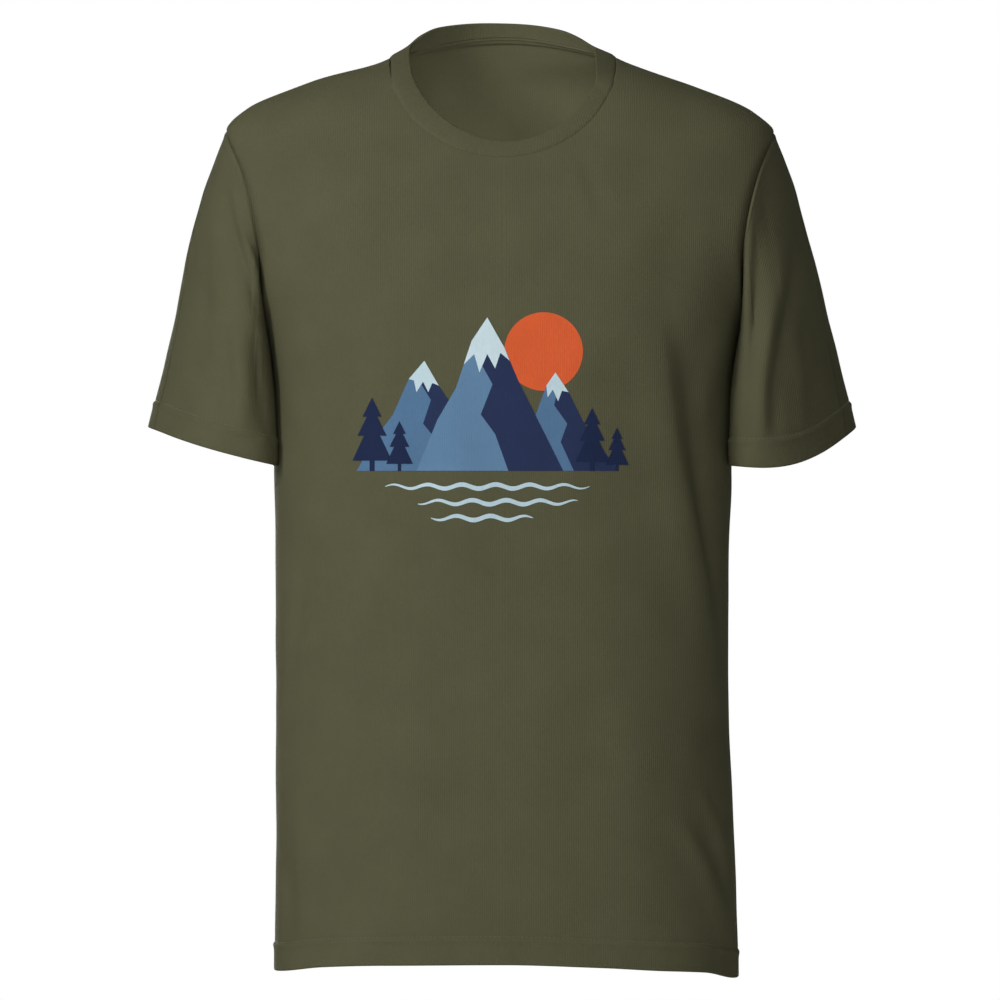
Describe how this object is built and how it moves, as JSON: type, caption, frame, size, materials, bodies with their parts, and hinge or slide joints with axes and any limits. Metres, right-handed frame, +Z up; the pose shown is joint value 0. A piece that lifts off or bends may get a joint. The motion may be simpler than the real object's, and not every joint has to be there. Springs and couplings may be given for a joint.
{
  "type": "short-sleeved crew-neck T-shirt",
  "caption": "Short-sleeved crew-neck T-shirt in its worn shape, with set-in sleeves, a ribbed neckband, turned-up hems and a printed chest.",
  "frame": {"origin": "midway between the high shoulder points, where the shoulder seams meet the neck seam", "axes": "+Z up towards the neck, -Y out of the front, +X towards the wearer's left sleeve"},
  "size_m": [0.55, 0.2389, 0.737],
  "materials": {
    "jersey": "matt single jersey cotton, olive green",
    "rib": "matt 1x1 rib cotton, olive green",
    "tape": "matt jersey tape, olive green",
    "thread": "spun polyester thread, olive green",
    "print": "satin screen-printed ink film"
  },
  "bodies": {
    "root": {"front_panel": "jersey", "back_panel": "jersey", "left_sleeve": "jersey", "right_sleeve": "jersey", "neckband": "rib", "neck_tape": "tape", "bottom_hem": "jersey", "left_sleeve_hem": "jersey", "right_sleeve_hem": "jersey", "left_side_seam": "jersey", "right_side_seam": "jersey", "left_shoulder_seam": "jersey", "right_shoulder_seam": "jersey", "left_armhole_seam": "jersey", "right_armhole_seam": "jersey", "left_sleeve_seam": "jersey", "right_sleeve_seam": "jersey"}
  },
  "joints": []
}
